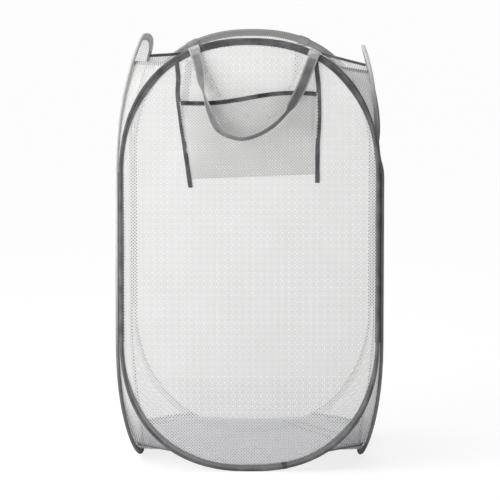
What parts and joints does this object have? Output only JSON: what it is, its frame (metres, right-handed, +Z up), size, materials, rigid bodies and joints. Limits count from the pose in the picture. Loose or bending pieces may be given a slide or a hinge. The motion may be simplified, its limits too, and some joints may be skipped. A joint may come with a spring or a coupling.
{
  "type": "pop up laundry hamper",
  "caption": "Tall square laundry hamper of pale mesh on four sprung oval hoops bound in grey tape, with corner webs, an outside pocket and two strap handles.",
  "frame": {"origin": "on the floor, below the middle of the square plan", "axes": "+Z up; the wall with the pocket faces -Y; +X is to the right as seen from the front"},
  "size_m": [0.366, 0.4118, 0.5892],
  "materials": {
    "binding_tape": "woven dark grey binding tape",
    "mesh": "pale grey knitted polyester mesh with small diamond holes",
    "strap": "mid grey woven webbing",
    "pale_strap": "light grey woven webbing",
    "spring_wire": "bright spring steel wire",
    "ferrule": "crimped steel tube"
  },
  "bodies": {
    "front": {"front_wire": "spring_wire", "front_wire_ferrule": "ferrule", "front_binding": "binding_tape", "front_mesh": "mesh", "base_mesh": "mesh", "pocket_mesh": "mesh", "pocket_left_tape": "binding_tape", "pocket_right_tape": "binding_tape", "pocket_top_tape": "binding_tape", "front_handle_tab_left": "pale_strap", "front_handle_tab_right": "pale_strap", "web_top_front_right": "mesh", "tape_top_front_right": "binding_tape", "web_bottom_front_right": "mesh", "tape_bottom_front_right": "binding_tape", "hinge_strip_front_right": "binding_tape", "web_top_front_left": "mesh", "tape_top_front_left": "binding_tape", "web_bottom_front_left": "mesh", "tape_bottom_front_left": "binding_tape", "hinge_strip_front_left": "binding_tape"},
    "left": {"left_wire": "spring_wire", "left_wire_ferrule": "ferrule", "left_binding": "binding_tape", "left_mesh": "mesh", "web_top_back_left": "mesh", "tape_top_back_left": "binding_tape", "web_bottom_back_left": "mesh", "tape_bottom_back_left": "binding_tape", "hinge_strip_back_left": "binding_tape"},
    "right": {"right_wire": "spring_wire", "right_wire_ferrule": "ferrule", "right_binding": "binding_tape", "right_mesh": "mesh"},
    "back_right_corner": {"web_top_back_right": "mesh", "tape_top_back_right": "binding_tape", "web_bottom_back_right": "mesh", "tape_bottom_back_right": "binding_tape", "hinge_strip_back_right": "binding_tape"},
    "back": {"back_wire": "spring_wire", "back_wire_ferrule": "ferrule", "back_binding": "binding_tape", "back_mesh": "mesh", "back_handle_tab_left": "pale_strap", "back_handle_tab_right": "pale_strap"},
    "front_handle": {"front_handle_strap": "strap"},
    "back_handle": {"back_handle_strap": "strap"},
    "keeper": {"keeper_strap": "pale_strap"}
  },
  "joints": [
    {"name": "front_left_fold", "type": "hinge", "parent": "front", "child": "left", "pos_m": [-0.1756, -0.1756, 0.2944], "axis": [0, 0, -1], "range_deg": [0, 58], "stiffness_Nm_per_rad": 0.08, "deforming": ["web_top_front_left", "tape_top_front_left", "web_bottom_front_left", "tape_bottom_front_left", "hinge_strip_front_left", "base_mesh"]},
    {"name": "front_right_fold", "type": "hinge", "parent": "front", "child": "right", "pos_m": [0.1756, -0.1756, 0.2944], "axis": [0, 0, -1], "range_deg": [0, 58], "deforming": ["web_top_front_right", "tape_top_front_right", "web_bottom_front_right", "tape_bottom_front_right", "hinge_strip_front_right"]},
    {"name": "back_left_fold", "type": "hinge", "parent": "left", "child": "back", "pos_m": [-0.1756, 0.1756, 0.2944], "axis": [0, 0, 1], "range_deg": [0, 58], "deforming": ["web_top_back_left", "tape_top_back_left", "web_bottom_back_left", "tape_bottom_back_left", "hinge_strip_back_left"]},
    {"name": "back_right_fold", "type": "hinge", "parent": "right", "child": "back_right_corner", "pos_m": [0.1756, 0.1756, 0.2944], "axis": [0, 0, 1], "range_deg": [0, 58], "deforming": ["web_top_back_right", "tape_top_back_right", "web_bottom_back_right", "tape_bottom_back_right", "hinge_strip_back_right"]},
    {"name": "front_handle_swing", "type": "hinge", "parent": "front", "child": "front_handle", "pos_m": [-0.0745, -0.1653, 0.57419], "axis": [-0.9994, 0.0081, 0.0348], "range_deg": [0, 160]},
    {"name": "back_handle_swing", "type": "hinge", "parent": "back", "child": "back_handle", "pos_m": [0.0745, 0.1653, 0.57419], "axis": [0.9994, -0.0081, 0.0348], "range_deg": [0, 160]},
    {"name": "keeper_strap_swing", "type": "hinge", "parent": "front", "child": "keeper", "pos_m": [-0.0805, -0.16205, 0.56004], "axis": [1, 0, 0], "range_deg": [0, 16]}
  ],
  "couplings": [
    {"joint": "front_right_fold", "follows": "front_left_fold", "ratio": 1},
    {"joint": "back_left_fold", "follows": "front_left_fold", "ratio": 1},
    {"joint": "back_right_fold", "follows": "front_left_fold", "ratio": 1}
  ]
}
